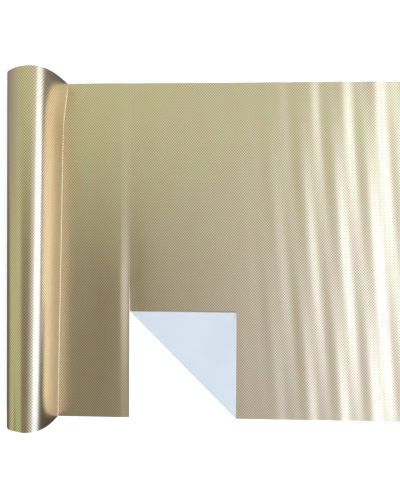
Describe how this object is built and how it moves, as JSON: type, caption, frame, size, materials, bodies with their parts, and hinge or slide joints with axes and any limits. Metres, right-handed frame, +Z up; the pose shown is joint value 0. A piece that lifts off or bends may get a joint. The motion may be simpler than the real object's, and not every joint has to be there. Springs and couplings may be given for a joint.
{
  "type": "roll of sign vinyl",
  "caption": "Part-used roll of embossed metallic sign vinyl on a paperboard core, its tail laid out, and a cut-off sheet with one corner folded back.",
  "frame": {"origin": "middle of the footprint, on the surface that the roll and the sheet lie on", "axes": "+Y along the roll's core, +X from the roll towards the cut-off sheet, +Z up"},
  "size_m": [0.4091, 0.3048, 0.0373],
  "materials": {
    "metallic_film": "embossed metallic satin",
    "release_liner": "smooth coated paper",
    "core_board": "raw spiral-wound paperboard",
    "core_tape": "translucent tape"
  },
  "bodies": {
    "laid_out_web": {"wrap_film": "metallic_film", "wrap_liner": "release_liner", "tail_film": "metallic_film", "tail_liner": "release_liner"},
    "wound_roll": {"core_tube": "core_board", "core_tape": "core_tape", "wound_film": "metallic_film", "wound_liner": "release_liner"},
    "cut_sheet": {"sheet_film": "metallic_film", "sheet_liner": "release_liner", "crease_film": "metallic_film", "crease_liner": "release_liner"},
    "folded_corner": {"flap_film": "metallic_film", "flap_liner": "release_liner"}
  },
  "joints": [
    {"name": "roll_turn", "type": "hinge", "parent": "laid_out_web", "child": "wound_roll", "pos_m": [-0.18673, 0, 0.01769], "axis": [0, 1, 0], "continuous": true},
    {"name": "sheet_slide", "type": "slide", "parent": "laid_out_web", "child": "cut_sheet", "axis": [1, 0, 0], "range_m": [0, 0.15]},
    {"name": "corner_fold", "type": "hinge", "parent": "cut_sheet", "child": "folded_corner", "pos_m": [-0.05173, -0.1039, 0.00048], "axis": [0.7071, -0.7071, 0], "range_deg": [0, 178], "deforming": ["crease_film", "crease_liner"]}
  ]
}
